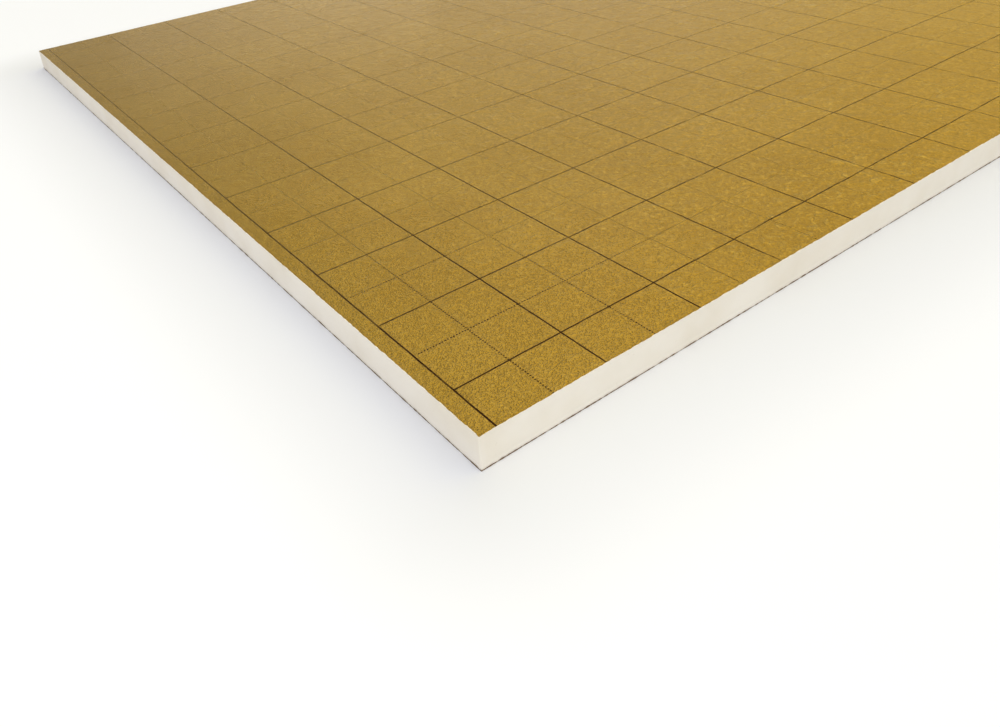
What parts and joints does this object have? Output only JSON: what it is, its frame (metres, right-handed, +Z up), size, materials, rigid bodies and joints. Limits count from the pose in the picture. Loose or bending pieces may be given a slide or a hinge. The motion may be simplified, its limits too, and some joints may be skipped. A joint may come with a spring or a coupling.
{
  "type": "polyiso insulation board",
  "caption": "Rigid square foam insulation board with a cream core and gold embossed foil facers, the upper one printed with a cutting grid.",
  "frame": {"origin": "centre of the board's underside, where it rests on the floor", "axes": "+X across the foil web, along the near edge that the picture shows at the right, +Y along the web and its printed border line, away along the picture's left edge, +Z up through the thickness to the printed face"},
  "size_m": [1.2, 1.2, 0.03],
  "materials": {
    "foam": "sawn closed-cell foam, matt cream",
    "printed_foil": "gold-lacquered embossed foil, satin, printed with a fine dark grid",
    "plain_foil": "gold-lacquered embossed foil, satin, unprinted"
  },
  "bodies": {
    "root": {"foam_core": "foam", "top_facer": "printed_foil", "bottom_facer": "plain_foil"}
  },
  "joints": []
}
